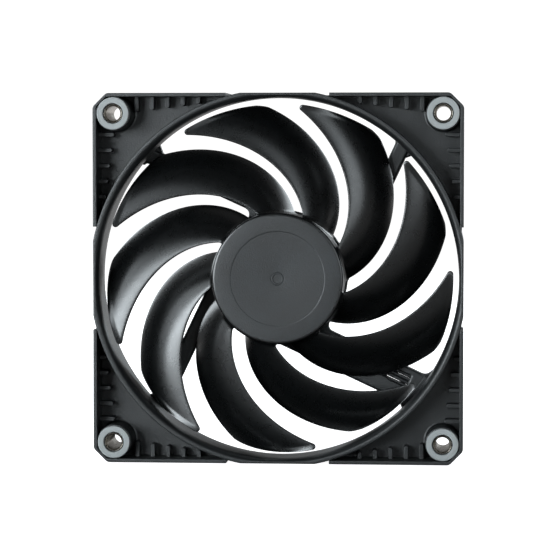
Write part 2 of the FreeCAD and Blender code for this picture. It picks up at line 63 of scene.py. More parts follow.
# Duct, rim and pockets
DUCT_COLUMNS = 1080
DUCT_EDGE = 0.35
DUCT_R = 68.2
RING_R = 71.4
LIP_R = 70.3
LIP_WALL = 0.7              # least wall left outside the lip where the duct is clipped flat
BELL_DEPTH = 4.5
FLARE_START = 2.0
FLARE_R = 69.0
FLANGE_START = 19.5
CHAMFER = 5.2
RIM_WALL = 1.4
CHAMFER_WALL = 1.0
WALL_BEND = 1.0
WEB_FRONT = 1.5
WEB_BACK = 3.7
WEB_HOLE = 5.5
WEB_INTO_DUCT = 1.4
POST_R = 6.5
POST_HALF = 10.5
POST_BORE = 3.47
POST_FILLET = 0.9
RIB_FIRST = 54.3
RIB_PITCH = 5.9
RIB_COUNT = 5
RIB_WIDTH = 1.7
RIB_REACH = 7.1
RIB_STEP = 0.78
RIB_FRONT = -4.0
RIB_BACK = 9.0
RIB_EDGE = 0.25
EJECTOR_SPOTS = ((42.5, 61.0), (61.0, 42.5))
EJECTOR_R = 2.15
EJECTOR_PROUD = 0.06
SOFT_EDGE = 0.2
FLAT_RIM = 0.05             # a narrow flat ring inside each rounded end edge keeps the end face's shading flat

# Struts and motor base
STRUT_FRONT = 8.0
STRUT_TURNS = (65.0, 155.5, 244.5)
STRUT_SIDES = (18.0, 24.0)
LEAD_TURN = 335.0
LEAD_STRUT_SIDES = (10.8, 24.1)
STRUT_WALL = 1.2
STRUT_EDGE = 1.1
STRUT_ROOT = (25.0, 26.6)   # radii between which a strut is solid at the base
STRUT_END = (67.0, 69.5)    # and at the duct
STRUT_SKIN_END = 69.8
BASE_FILLET = 2.5
DUCT_FILLET = 1.5
LEAD_DUCT_FILLET = 3.0
FOOT_START = 61.3
FOOT_REACH = 2.6
FOOT_FLAT = 1.0
FOOT_END = 69.0
LEAD_RIB = (18.8, 19.8)
WINDOW_ALONG = (53.0, 61.4)
WINDOW_ACROSS = (13.1, 18.4)
BASE_R = 25.6
BASE_FRONT = 7.3
BASE_FLOOR = 10.6
LABEL_R = 21.0
LABEL_RECESS = 0.35
BOSS_BORE = 4.52
BOSS_R = 8.0
BOSS_FRONT = 8.6
STANDOFF_TURNS = (50.0, 170.0, 255.0)
STANDOFF_AT = 19.0
STANDOFF_R = 1.3
NOTCH_BACK = 9.2
NOTCH_ACROSS = (12.0, 18.8)
LEDGE_R = 67.0
LEDGE_FRONT = 6.0
LEDGE_TURNS = (-46.3, -34.3)
LEDGE_CHEEKS = (-41.4, -35.2)   # the ledge runs on to the back outside these two angles

# Leads and clamp: ranges along and across the lead direction
LEAD_ALONG = (9.5, 70.4)
LEAD_FIRST = 13.9
LEAD_PITCH = 1.35
LEAD_Y = 9.9
LEAD_R = 0.67
LEAD_POINTS = 120
LEAD_HOOKS = ((54.0, 56.5, 11.8, 15.4), (58.4, 60.9, 15.8, 19.0))
LEAD_HOOK_FRONT = 10.9
CLAMP_ALONG = (66.4, 70.4)
CLAMP_ACROSS = (12.05, 18.75)

# Pads and sleeves
PAD_BORE = 3.83
PAD_EDGE = 0.35
SLEEVE_BORE = 2.75
SLEEVE_SINK = 0.62

# Impeller
HUB_R = 24.9
HUB_BACK = 6.3
GROOVE_R = 18.0
HUB_SUNK = 0.1              # how far the face inside the step lies behind the face outside it
GATE_DEPTH = 0.16
HUB_INSIDE_R = 22.9
HUB_WALL = 1.8
BLADE_COUNT = 9
ROOT_R = 23.8
TIP_R = 66.2
MID_R = 45.0
HALF_SPAN = 20.0
FINGER_R = 1.2
EDGE_TURN = 15.5            # degrees, of the first blade's leading edge at the middle radius
LEAD_SWEEP = 28.2
TAIL_TURN = (-16.6, 28.3, 2.2)  # degrees: at the middle radius, per half span and per half span squared
EDGE_Y = (-8.0, -1.3)       # of the leading edge: at the middle radius and per half span squared
TAIL_Y = 5.0
THIN = 0.7                  # blade thickness at its edges
CROWN = 1.2                 # and what is added at mid chord
BLADE_FALL = (0.4, 0.08, 0.52)
HUB_RIM = 1.2
ROOT_FILLET = 1.3
TAIL_CUT_START = 64.9
TAIL_CUT = 2.6


# ---------------------------------------------------------------- shapes

def polar(radius, turn):
    """(x, z) at a radius and an angle in radians, stacked on the last axis."""
    return np.stack([radius * np.cos(turn), radius * np.sin(turn)], axis=-1)


def beside(turn, along, across):
    """(x, z) of a point some way along a direction and some way to the right of it; turn in degrees."""
    c, s = math.cos(math.radians(turn)), math.sin(math.radians(turn))
    return np.stack([along * c + across * s, along * s - across * c], axis=-1)


def spun(flat, turn):
    """Points in mm turned about the spin axis by an angle in degrees, +X towards +Z."""
    c, s = math.cos(math.radians(turn)), math.sin(math.radians(turn))
    return flat @ np.array([[c, 0, s], [0, 1, 0], [-s, 0, c]])


def lifted(places, y):
    """(x, z) places with a y, as (x, y, z)."""
    y = np.broadcast_to(y, places.shape[:-1])
    return np.stack([places[..., 0], y, places[..., 1]], axis=-1)


def rounded(corners, steps=4, closed=True):
    """An outline whose (a, b, cut) corners are blended: each becomes the curve (1-s)^2 P + 2s(1-s) C + s^2 Q
    between points P and Q, the given cut away from the corner C on either side."""
    marks = np.array([c[:2] for c in corners], float)
    cuts = [c[2] if len(c) > 2 else 0.0 for c in corners]
    s = np.linspace(0, 1, steps + 1)[:, None]
    out = []
    for index, (mark, cut) in enumerate(zip(marks, cuts)):
        if cut == 0 or (not closed and index in (0, len(marks) - 1)):
            out.append(mark[None])
            continue
        before, after = marks[index - 1] - mark, marks[(index + 1) % len(marks)] - mark
        p = mark + before / np.linalg.norm(before) * cut
        q = mark + after / np.linalg.norm(after) * cut
        out.append((1 - s) ** 2 * p + 2 * s * (1 - s) * mark + s ** 2 * q)
    return np.concatenate(out)


def swept_volume(points, quads, rings):
    """Six times the volume inside a closed surface, negative if its faces look inwards."""
    corner = points[quads] - points.mean(0)
    total = np.sum(corner[:, 0] * (np.cross(corner[:, 1], corner[:, 2]) + np.cross(corner[:, 2], corner[:, 3])))
    for ring in rings:
        fan = points[ring] - points.mean(0)
        total += np.sum(fan[0] * np.cross(fan[1:-1], fan[2:]))
    return total


def shell(grid, around=False, along=False, caps=False, inside_out=False):
    """A surface (points, quads, rings) from a grid of points. It may close around its columns or along its
    rows, and caps close the first and last row. Closed surfaces are turned so that their volume is positive."""
    rows, columns = grid.shape[:2]
    numbers = np.arange(rows * columns).reshape(rows, columns)
    net = np.vstack([numbers, numbers[:1]]) if along else numbers
    net = np.hstack([net, net[:, :1]]) if around else net
    quads = np.stack([net[:-1, :-1], net[1:, :-1], net[1:, 1:], net[:-1, 1:]], axis=-1).reshape(-1, 4)
    rings = [numbers[0], numbers[-1][::-1]] if caps else []
    points = grid.reshape(-1, 3)
    if around and (caps or along):
        inside_out = swept_volume(points, quads, rings) < 0
    if inside_out:
        quads = quads[:, ::-1]
        rings = [ring[::-1] for ring in rings]
    return points, quads, rings


def lathe(profile, centre=(0.0, 0.0), count=128, closed=True):
    """A surface spun about a line along Y: profile rows are (radius, y). An open profile is capped at both
    ends, where its radius is close to zero."""
    turn = np.linspace(0, 2 * math.pi, count, endpoint=False)
    grid = lifted(polar(profile[:, :1], turn[None]) + np.array(centre), profile[:, 1:])
    return shell(grid, around=True, along=closed, caps=not closed)


def drawn(outline, y0, y1, edge0=0.0, edge1=0.0, steps=3):
    """An outline of (x, z) rows drawn out along Y, its end edges rounded by quarter circles."""
    ahead = np.roll(outline, -1, axis=0) - np.roll(outline, 1, axis=0)
    normal = np.stack([ahead[:, 1], -ahead[:, 0]], axis=-1)
    normal /= np.linalg.norm(normal, axis=1)[:, None] + 1e-12
    x, z = outline[:, 0], outline[:, 1]
    area = np.sum(x * np.roll(z, -1) - z * np.roll(x, -1))
    normal *= -1 if area > 0 else 1
    phi = np.linspace(0, math.pi / 2, steps + 1)
    rows = [(y0 + edge0 * (1 - math.cos(p)), edge0 * (1 - math.sin(p))) for p in phi]
    rows += [(y1 - edge1 * (1 - math.cos(p)), edge1 * (1 - math.sin(p))) for p in phi[::-1]]
    rows = [(y0, edge0 + FLAT_RIM)] + rows + [(y1, edge1 + FLAT_RIM)]
    grid = np.stack([lifted(outline + normal * inset, y) for y, inset in rows])
    return shell(grid, around=True, caps=True)


def circle(radius, centre, count=24, start=0.0, end=2 * math.pi, endpoint=False):
    """Places on a circle about a centre (x, z)."""
    turn = np.linspace(start, end, count, endpoint=endpoint)
    return polar(radius, turn) + np.array(centre)


def piece(name, shells, body, finish, nodes, sharp=38.0):
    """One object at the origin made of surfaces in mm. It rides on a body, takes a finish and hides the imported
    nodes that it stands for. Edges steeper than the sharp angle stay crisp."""
    points, corners, totals, offset = [], [], [], 0
    for shell_points, quads, rings in shells:
        points.append(shell_points)
        corners.append(quads.ravel() + offset)
        totals.append(np.full(len(quads), 4))
        for ring in rings:
            corners.append(ring + offset)
            totals.append(np.array([len(ring)]))
        offset += len(shell_points)
    points = np.concatenate(points) * MM
    corners = np.concatenate(corners)
    totals = np.concatenate(totals)
    mesh = bpy.data.meshes.new(name)
    mesh.vertices.add(len(points))
    mesh.vertices.foreach_set("co", points.astype(np.float32).ravel())
    mesh.loops.add(len(corners))
    mesh.loops.foreach_set("vertex_index", corners.astype(np.int32))
    mesh.polygons.add(len(totals))
    mesh.polygons.foreach_set("loop_start", (np.cumsum(totals) - totals).astype(np.int32))
    mesh.polygons.foreach_set("loop_total", totals.astype(np.int32))
    mesh.update(calc_edges=True)
    mesh.validate()
    mesh.shade_smooth()
    mesh.set_sharp_from_angle(angle=math.radians(sharp))
    mesh.materials.append(finish)
    made = bpy.data.objects.new(name, mesh)
    bpy.context.scene.collection.objects.link(made)
    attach(made, body)
    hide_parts(*nodes)
    return made


# ---------------------------------------------------------------- materials

def linear(code, alpha=1.0):
    """An sRGB hex colour as linear red, green, blue and alpha."""
    parts = [int(code[i:i + 2], 16) / 255 for i in (1, 3, 5)]
    return [p / 12.92 if p <= 0.04045 else ((p + 0.055) / 1.055) ** 2.4 for p in parts] + [alpha]


def add(tree, kind, links=(), **settings):
    """Adds a node. A setting names one of its properties, or an input socket with spaces as underscores;
    links are (input name or number, output socket)."""
    made = tree.nodes.new(kind)
    for name, value in settings.items():
        if hasattr(made, name):
            setattr(made, name, value)
        else:
            made.inputs[name.replace("_", " ")].default_value = value
    for target, source in links:
        tree.links.new(source, made.inputs[target])
    return made


def coat_of(name, dark, light, grain, roughness, metallic=0.0, bump=0.0, bump_grain=None, spread=0.06,
            stretch=(1, 1, 1), ior=None, cloud=None):
    """A finish whose colour runs between two tones and whose roughness wavers, both following noise with a
    grain in mm, over relief of a height in mm. The cloud is the size in mm of a slower drift in tone."""
    made = bpy.data.materials.new(name)
    made.use_nodes = True
    tree = made.node_tree
    shader = tree.nodes["Principled BSDF"]
    where = add(tree, "ShaderNodeTexCoord").outputs["Object"]
    where = add(tree, "ShaderNodeMapping", [("Vector", where)], Scale=stretch).outputs["Vector"]
    fine = add(tree, "ShaderNodeTexNoise", [("Vector", where)], Scale=1 / (grain * MM), Detail=3.0)
    tone = fine.outputs["Fac"]
    if cloud:
        slow = add(tree, "ShaderNodeTexNoise", [("Vector", where)], Scale=1 / (cloud * MM), Detail=2.0)
        mix = add(tree, "ShaderNodeMath", [(0, tone), (1, slow.outputs["Fac"])], operation="MULTIPLY_ADD")
        mix.inputs[2].default_value = 0.18
        tone = mix.outputs[0]
    ramp = add(tree, "ShaderNodeValToRGB", [("Fac", tone)])
    ramp.color_ramp.elements[0].position = 0.3
    ramp.color_ramp.elements[0].color = linear(dark)
    ramp.color_ramp.elements[1].position = 0.7
    ramp.color_ramp.elements[1].color = linear(light)
    tree.links.new(ramp.outputs["Color"], shader.inputs["Base Color"])
    waver = add(tree, "ShaderNodeMapRange", [("Value", fine.outputs["Fac"])], **{"From_Min": 0.3, "From_Max": 0.7})
    waver.inputs["To Min"].default_value = roughness - spread
    waver.inputs["To Max"].default_value = roughness + spread
    tree.links.new(waver.outputs["Result"], shader.inputs["Roughness"])
    shader.inputs["Metallic"].default_value = metallic
    if ior:
        shader.inputs["IOR"].default_value = ior
    if bump:
        size = (bump_grain or grain) * MM
        relief = add(tree, "ShaderNodeTexNoise", [("Vector", where)], Scale=1 / size, Detail=2.0)
        tilt = add(tree, "ShaderNodeBump", [("Height", relief.outputs["Fac"])], Strength=1.0, Distance=bump * MM)
        tree.links.new(tilt.outputs["Normal"], shader.inputs["Normal"])
    return made


# Black glass-filled plastic of the frame, spark-textured by the mould
FRAME_COAT = coat_of("frame_black_plastic", "#0b0d0e", "#111415", 0.5, 0.45,
                     bump=0.06, bump_grain=0.6, ior=1.53, cloud=18)
# The same kind of plastic on the hub's face, with a coarser texture
HUB_COAT = coat_of("hub_black_plastic", "#040505", "#1b1f22", 1.0, 0.48,
                   bump=0.08, bump_grain=0.55, ior=1.53, cloud=15)
# Smoother polished mould face of the blades and the hub's rim
BLADE_COAT = coat_of("blade_black_plastic", "#050606", "#08090a", 3.0, 0.28,
                     spread=0.015, ior=1.55, cloud=20)
# Soft grey silicone rubber
PAD_COAT = coat_of("grey_silicone_rubber", "#888b8b", "#919494", 0.5, 0.62,
                   bump=0.004, bump_grain=0.3, ior=1.43, cloud=9)
# Zinc-plated steel tube
SLEEVE_COAT = coat_of("zinc_plated_steel", "#8d877e", "#a8a299", 0.6, 0.30, metallic=1.0, bump=0.002)
# Black PVC insulation
LEAD_COAT = coat_of("black_pvc_sheath", "#131415", "#1b1c1d", 0.7, 0.38, bump=0.003, ior=1.53)
# Silvered paper label with no print
LABEL_COAT = coat_of("silver_label_film", "#8e9294", "#a2a6a8", 0.9, 0.42,
                     metallic=0.6, bump=0.001, cloud=12)
# Turned brass, with fine rings along its length
BRASS_COAT = coat_of("turned_brass", "#b58d46", "#cba55c", 0.3, 0.28,
                     metallic=1.0, bump=0.001, stretch=(1, 6, 1))
# Porous bearing bronze, dark with oil
BRONZE_COAT = coat_of("oiled_sintered_bronze", "#7c5a36", "#96704a", 0.15, 0.45, metallic=1.0, bump=0.004)
# Black nitrile rubber
SEAL_COAT = coat_of("black_nitrile_rubber", "#141414", "#1c1c1d", 0.3, 0.65, bump=0.003, ior=1.52)
# White acetal
THRUST_COAT = coat_of("white_acetal", "#dcdcd6", "#e6e6e1", 0.8, 0.40, bump=0.001, ior=1.48)
# Stacked sheets of electrical steel
CORE_COAT = coat_of("laminated_electrical_steel", "#5c6064", "#7b8085", 0.5, 0.42,
                    metallic=1.0, bump=0.006, stretch=(0.1, 5, 0.1))
# Black nylon
INSULATOR_COAT = coat_of("black_nylon_insulator", "#17191a", "#202324", 0.5, 0.50, bump=0.004, ior=1.53)
# Enamelled copper wire, wound
COPPER_COAT = coat_of("enamelled_copper_wire", "#8f4a1f", "#b5692f", 0.25, 0.30,
                      metallic=0.9, bump=0.03, bump_grain=0.6, stretch=(2.5, 0.6, 0.6))
# Green solder mask over a glass-fibre board
BOARD_COAT = coat_of("green_solder_mask", "#0f3a22", "#16492c", 1.5, 0.32, bump=0.004, ior=1.55)
# Black epoxy packages
CHIP_COAT = coat_of("black_epoxy_package", "#1a1a1b", "#232324", 0.15, 0.58, bump=0.003, ior=1.55)
# Tin solder and tinned pins
SOLDER_COAT = coat_of("tin_solder", "#a3a6a8", "#c0c3c5", 0.4, 0.26, metallic=1.0, bump=0.01)
# Tan ceramic
CAPACITOR_COAT = coat_of("tan_ceramic_capacitor", "#8a6f4c", "#9d8059", 0.3, 0.48, bump=0.002, ior=1.6)
# Bonded ferrite
MAGNET_COAT = coat_of("bonded_ferrite_magnet", "#2a2a2b", "#39393a", 0.2, 0.60, bump=0.006, ior=1.9)
# Nickel-plated steel
YOKE_COAT = coat_of("nickel_plated_steel", "#989a9a", "#b3b5b4", 0.7, 0.30, metallic=1.0, bump=0.002)
# Ground hard steel
SHAFT_COAT = coat_of("ground_shaft_steel", "#b2b4b6", "#c9cbcc", 0.3, 0.16,
                     metallic=1.0, bump=0.0008, stretch=(1, 8, 1))
# White nylon
CLIP_COAT = coat_of("white_nylon_clip", "#d2d1c8", "#dfded6", 0.5, 0.45, bump=0.002, ior=1.53)

CARRIED = {
    "bearing_tube": BRASS_COAT,
    "sleeve_bearing": BRONZE_COAT,
    "oil_seal": SEAL_COAT,
    "thrust_pad": THRUST_COAT,
    "stator_core": CORE_COAT,
    "front_insulator": INSULATOR_COAT,
    "rear_insulator": INSULATOR_COAT,
    "coil_1": COPPER_COAT,
    "coil_2": COPPER_COAT,
    "coil_3": COPPER_COAT,
    "coil_4": COPPER_COAT,
    "terminal_pins": SOLDER_COAT,
    "circuit_board": BOARD_COAT,
    "driver_chip": CHIP_COAT,
    "hall_sensor": CHIP_COAT,
    "capacitor_1": CAPACITOR_COAT,
    "capacitor_2": CAPACITOR_COAT,
    "solder_joints": SOLDER_COAT,
    "rotor_yoke": YOKE_COAT,
    "ring_magnet": MAGNET_COAT,
    "shaft": SHAFT_COAT,
    "shaft_bush": BRASS_COAT,
    "shaft_clip": CLIP_COAT,
}


def coat_carried():
    """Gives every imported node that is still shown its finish."""
    for name, finish in CARRIED.items():
        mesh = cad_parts[name].data
        if not mesh.materials:
            mesh.materials.append(finish)
        for index in range(len(mesh.materials)):
            mesh.materials[index] = finish


# ---------------------------------------------------------------- frame

def duct():
    """The round duct: at each angle the same loop of (radius, y), its outer radius clipped by the square and
    its back cut lower where the leads leave. The front lip falls into the bore along a quarter ellipse."""
    turn = np.linspace(0, 2 * math.pi, DUCT_COLUMNS, endpoint=False)
    edge = [math.atan2(p[1], p[0]) % (2 * math.pi) for p in
            (beside(LEAD_TURN, math.sqrt(FLARE_R ** 2 - a ** 2), a) for a in NOTCH_ACROSS)]
    notch_end, notch_start = edge
    close = 1e-4
    extra = [notch_start - close, notch_start + close, notch_end - close, notch_end + close]
    turn = np.sort(np.concatenate([turn, extra]))
    outer = np.minimum(RING_R, HALF / np.maximum(abs(np.cos(turn)), abs(np.sin(turn))))
    lip = np.minimum(LIP_R, outer - LIP_WALL)
    back = np.where((turn > notch_start) & (turn < notch_end), NOTCH_BACK, BACK)
    e = DUCT_EDGE
    quarter = np.linspace(0, math.pi / 2, 5)
    sweep = np.linspace(0, math.pi / 2, 18)
    level = np.linspace(0, 1, 6)[1:-1]
    loop = [(outer - e + e * math.sin(q), back - e + e * math.cos(q)) for q in quarter]
    loop += [(outer, back - e + (FRONT + e - back + e) * v) for v in level]
    loop += [(outer - e + e * math.cos(q), FRONT + e - e * math.sin(q)) for q in quarter]
    loop += [(lip - (lip - DUCT_R) * math.sin(t), FRONT + BELL_DEPTH * (1 - math.cos(t))) for t in sweep]
    start = FRONT + BELL_DEPTH
    loop += [(DUCT_R, start + (FLARE_START - start) * v) for v in level]
    flare = (FLARE_R - DUCT_R) / (BACK - FLARE_START)
    for v in np.linspace(0, 1, 5):
        y = FLARE_START + (back - e - FLARE_START) * v
        loop.append((DUCT_R + flare * (y - FLARE_START), y))
    last = DUCT_R + flare * (back - FLARE_START)
    loop += [(last + e - e * math.cos(q), back - e + e * math.sin(q)) for q in quarter[1:]]
    grid = np.stack([lifted(polar(r, turn), y) for r, y in loop])
    return shell(grid, around=True, along=True)


def corner_wall():
    """The rim wall of the upper right corner, swept along its outer and inner lines."""
    inner = HALF - RIM_WALL
    cut = 2 * HALF - CHAMFER - CHAMFER_WALL * math.sqrt(2) - inner
    lines = []
    for far, near, soft in ((HALF, HALF - CHAMFER, WALL_BEND), (inner, cut, 0.5 * WALL_BEND)):
        corners = [(FLANGE_START, far), (near, far, soft), (far, near, soft), (far, FLANGE_START)]
        lines.append(rounded(corners, 5, False))
    outside, inside = lines
    e = SOFT_EDGE
    section = rounded([(0, FRONT, e), (RIM_WALL, FRONT, e), (RIM_WALL, BACK, e), (0, BACK, e)], 4)
    share = section[:, :1] / RIM_WALL
    places = outside[:, None] + share[None] * (inside - outside)[:, None]
    return shell(lifted(places, section[:, 1]), around=True, caps=True)


def web(post):
    """The web that closes the corner pocket: a flat ring about the post that reaches the walls and the duct."""
    turn = np.linspace(0, 2 * math.pi, 720, endpoint=False)
    ray = polar(1.0, turn)
    wall = HALF - 0.5 * RIM_WALL
    slope = 2 * HALF - CHAMFER - 0.7 * CHAMFER_WALL * math.sqrt(2)
    with np.errstate(divide="ignore", invalid="ignore"):
        reach = np.where(ray > 1e-6, (wall - post) / ray, np.inf).min(axis=1)
        both = ray.sum(axis=1)
        reach = np.minimum(reach, np.where(both > 1e-6, (slope - 2 * post) / both, np.inf))
        ring = RING_R - WEB_INTO_DUCT
        half = ray.sum(axis=1) * post
        room = half ** 2 - (2 * post ** 2 - ring ** 2)
        to_ring = -half - np.sqrt(np.maximum(room, 0))
        reach = np.minimum(reach, np.where((room > 0) & (half < 0), to_ring, np.inf))
    rows = []
    for y, span in ((WEB_FRONT, (0, 1)), (WEB_BACK, (1, 0))):
        for share in span:
            rows.append(lifted(post + ray * (WEB_HOLE + share * (reach - WEB_HOLE))[:, None], y))
    return shell(np.stack(rows), around=True, along=True)


def ribs():
    """The comb of the upper right corner: prisms with round ends from both rim walls."""
    made = []
    wall = HALF - RIM_WALL / 2
    half = RIB_WIDTH / 2
    for index in range(RIB_COUNT):
        at = RIB_FIRST - RIB_PITCH * index
        tip = HALF - RIB_REACH + RIB_STEP * index + half
        end = circle(half, (at, tip), 17, math.pi, 2 * math.pi, True)
        outline = np.concatenate([end, [(at + half, wall), (at - half, wall)]])
        made.append(drawn(outline, RIB_FRONT, RIB_BACK, RIB_EDGE, RIB_EDGE))
        made.append(drawn(outline[:, ::-1], RIB_FRONT, RIB_BACK, RIB_EDGE, RIB_EDGE))
    return made


def post_shell(post):
    """The round post with a bore for the sleeve and small fillets where it stands on the web."""
    foot = POST_FILLET
    section = [(POST_BORE, -POST_HALF, 0.15), (POST_R, -POST_HALF, 0.3), (POST_R, WEB_FRONT, foot)]
    section += [(POST_R + foot, WEB_FRONT), (POST_R + foot, WEB_BACK), (POST_R, WEB_BACK, foot)]
    section += [(POST_R, POST_HALF, 0.3), (POST_BORE, POST_HALF, 0.15)]
    return lathe(rounded(section, 4), (post, post), 96)


def ejector_marks():
    """Two faint round marks on the pocket floor, slightly proud."""
    made = []
    for spot in EJECTOR_SPOTS:
        made.append(drawn(circle(EJECTOR_R, spot, 40), WEB_FRONT - EJECTOR_PROUD, WEB_FRONT + 0.3, 0.05))
    return made


def build_corners():
    """Walls, web, ribs and post of each corner."""
    low, high = box_mm("mount_sleeve_1")
    post = (low[0] + high[0]) / 2
    for index in range(4):
        turn = 90 * index
        shells = {
            "frame_wall": [corner_wall()],
            "frame_web": [web(post)] + ejector_marks(),
            "frame_ribs": ribs(),
            "frame_post": [post_shell(post)],
        }
        for name, surfaces in shells.items():
            turned = [(spun(points, turn), quads, rings) for points, quads, rings in surfaces]
            piece("%s_%d" % (name, index + 1), turned, "housing", FRAME_COAT, ["frame"])


def strut_skin(turn, near, far, window):
    """The front and sides of a strut as an open sheet that is thickened inwards. Its ends lie on circles
    about the axis, and the cells inside the window are left out."""
    e = STRUT_EDGE
    top = [near + e + (far - near - 2 * e) * v for v in np.linspace(0, 1, 25)]
    if window:
        top = sorted([o for o in top if min(abs(o - w) for w in WINDOW_ACROSS) > 0.25] + list(WINDOW_ACROSS))
    quarter = np.linspace(0, math.pi / 2, 6)
    rows = [(near, BACK), (near, STRUT_FRONT + 2.0)]
    rows += [(near + e - e * math.cos(q), STRUT_FRONT + e - e * math.sin(q)) for q in quarter[:-1]]
    rows += [(o, STRUT_FRONT) for o in top]
    rows += [(far - e + e * math.sin(q), STRUT_FRONT + e - e * math.cos(q)) for q in quarter[1:]]
    rows += [(far, STRUT_FRONT + 2.0), (far, BACK)]
    across, depth = np.array(rows).T
    radii = np.linspace(STRUT_ROOT[0], 50.0, 12)
    starts = np.sqrt(radii[:, None] ** 2 - across ** 2)
    ends = np.sqrt(STRUT_SKIN_END ** 2 - across ** 2)
    middle = WINDOW_ALONG if window else (54.0, 60.0)
    last = np.broadcast_to(middle[1], across.shape)
    along = list(starts) + [np.broadcast_to(m, across.shape) for m in np.linspace(*middle, 6)]
    along += [last + (ends - last) * v for v in np.linspace(0, 1, 8)[1:]]
    along = np.array(along)
    grid = lifted(beside(turn, along, across), depth)
    points, quads, rings = shell(grid, inside_out=True)
    if window:
        centre = grid.reshape(-1, 3)[quads].mean(axis=1)
        c, s = math.cos(math.radians(turn)), math.sin(math.radians(turn))
        t, o = centre[:, 0] * c + centre[:, 2] * s, centre[:, 0] * s - centre[:, 2] * c
        open_cell = (t > WINDOW_ALONG[0]) & (t < WINDOW_ALONG[1])
        open_cell &= (o > WINDOW_ACROSS[0]) & (o < WINDOW_ACROSS[1])
        quads = quads[~open_cell]
    return points, quads, rings


def filler(turn, across, ring, hollow, y0, soft=BASE_FILLET):
    """The small fillet where a strut's side meets a ring: bounded by the side, the ring and an arc that
    touches both. The free side is towards smaller offsets if soft is positive, and a hollow ring is met from
    inside."""
    size = abs(soft)
    side = across - soft
    reach = ring - size if hollow else ring + size
    centre = np.array([math.sqrt(reach ** 2 - side ** 2), side])
    on_line = np.array([centre[0], across])
    on_ring = centre * ring / reach
    first = math.atan2(*(on_line - centre)[::-1])
    last = math.atan2(*(on_ring - centre)[::-1])
    gap = (last - first + math.pi) % (2 * math.pi) - math.pi
    arc = circle(size, centre, 14, first, first + gap, True)
    deep = on_ring * ((ring + 1.0) / ring if hollow else (ring - 1.0) / ring)
    push = math.copysign(0.8, soft)
    inner_t = math.sqrt((ring + (1.0 if hollow else -1.0)) ** 2 - (across + push) ** 2)
    outline = np.concatenate([arc, [deep, (inner_t, across + push), (on_line[0], across + push)]])
    places = beside(turn, outline[:, 0], outline[:, 1])
    return drawn(places, y0, BACK - 0.05, 0.0, 0.0)


def plug(turn, near, far, inner, outer, y0=STRUT_FRONT + 0.6):
    """A solid stretch inside a strut between two circles about the axis."""
    across = np.linspace(near, far, 8)
    first, last = (np.sqrt(radius ** 2 - across ** 2) for radius in (inner, outer))
    outline = np.concatenate([beside(turn, first, across), beside(turn, last[::-1], across[::-1])])
    return drawn(outline, y0, BACK - 0.02, 0.0, 0.1)


def foot(turn, side):
    """The 45 degree widening where a strut's far side meets the duct."""
    root, top = side - 0.8, side + FOOT_REACH
    crest = FOOT_START + FOOT_REACH
    corners = [(FOOT_START, root), (FOOT_START, side, 0.5), (crest, top, 0.5)]
    corners += [(crest + FOOT_FLAT, top), (FOOT_END, root)]
    spots = rounded(corners, 4)
    keep = np.minimum(spots[:, 0], np.sqrt(STRUT_END[1] ** 2 - spots[:, 1] ** 2))
    return drawn(beside(turn, keep, spots[:, 1]), STRUT_FRONT + 0.8, BACK - 0.02, 0.3, 0.1)


def thicken(made, depth):
    """Gives an open sheet its wall."""
    wall = made.modifiers.new("wall", "SOLIDIFY")
    wall.thickness = depth * MM
    wall.offset = -1.0
    wall.use_even_offset = True


def build_struts():
    """Struts with their fillets, feet and end plugs, and the hooks over the leads."""
    near, far = STRUT_SIDES
    for index, turn in enumerate(STRUT_TURNS):
        sheet = strut_skin(turn, near, far, False)
        skin = piece("frame_strut_%d" % (index + 1), [sheet], "housing", FRAME_COAT, ["frame"])
        thicken(skin, STRUT_WALL)
        inside = (near + 0.5, far - 0.5)
        shells = [plug(turn, *inside, *STRUT_ROOT), plug(turn, *inside, *STRUT_END), foot(turn, far)]
        shells.append(filler(turn, near, BASE_R, False, STRUT_FRONT))
        shells.append(filler(turn, near, DUCT_R, True, STRUT_FRONT + 0.3, DUCT_FILLET))
        piece("frame_strut_ends_%d" % (index + 1), shells, "housing", FRAME_COAT, ["frame"])
    near, far = LEAD_STRUT_SIDES
    sheet = strut_skin(LEAD_TURN, near, far, True)
    skin = piece("frame_lead_strut", [sheet], "housing", FRAME_COAT, ["frame"])
    thicken(skin, STRUT_WALL)
    inside = (LEAD_RIB[1] - 0.1, far - 0.5)
    shells = [plug(LEAD_TURN, *inside, *STRUT_ROOT), plug(LEAD_TURN, *inside, *STRUT_END)]
    shells.append(plug(LEAD_TURN, *LEAD_RIB, STRUT_ROOT[0] + 0.2, FOOT_END, STRUT_FRONT + 0.05))
    shells.append(foot(LEAD_TURN, far))
    shells.append(filler(LEAD_TURN, near, BASE_R, False, STRUT_FRONT))
    shells.append(filler(LEAD_TURN, near, DUCT_R, True, STRUT_FRONT, LEAD_DUCT_FILLET))
    start, end = LEDGE_TURNS
    spans = [(start, end, LEDGE_FRONT, NOTCH_BACK, 0.3)]
    for first, last in ((start, LEDGE_CHEEKS[0]), (LEDGE_CHEEKS[1], end)):
        spans.append((first, last, NOTCH_BACK - 0.5, BACK - 0.02, 0.0))
    for first, last, y0, y1, soft in spans:
        turns = np.radians(np.linspace(first, last, 40))
        outline = np.concatenate([polar(LEDGE_R, turns), polar(FLARE_R + 0.6, turns[::-1])])
        shells.append(drawn(outline, y0, y1, soft))
    piece("frame_lead_strut_ends", shells, "housing", FRAME_COAT, ["frame"])
    hooks = []
    for start, end, low, high in LEAD_HOOKS:
        corners = [(start, low, 0.4), (end, low, 0.4), (end, high, 0.4), (start, high, 0.4)]
        spots = rounded(corners, 3)
        places = beside(LEAD_TURN, spots[:, 0], spots[:, 1])
        hooks.append(drawn(places, LEAD_HOOK_FRONT, BACK - 0.1, 0.2, 0.2))
    piece("frame_lead_hooks", hooks, "housing", FRAME_COAT, ["frame"])


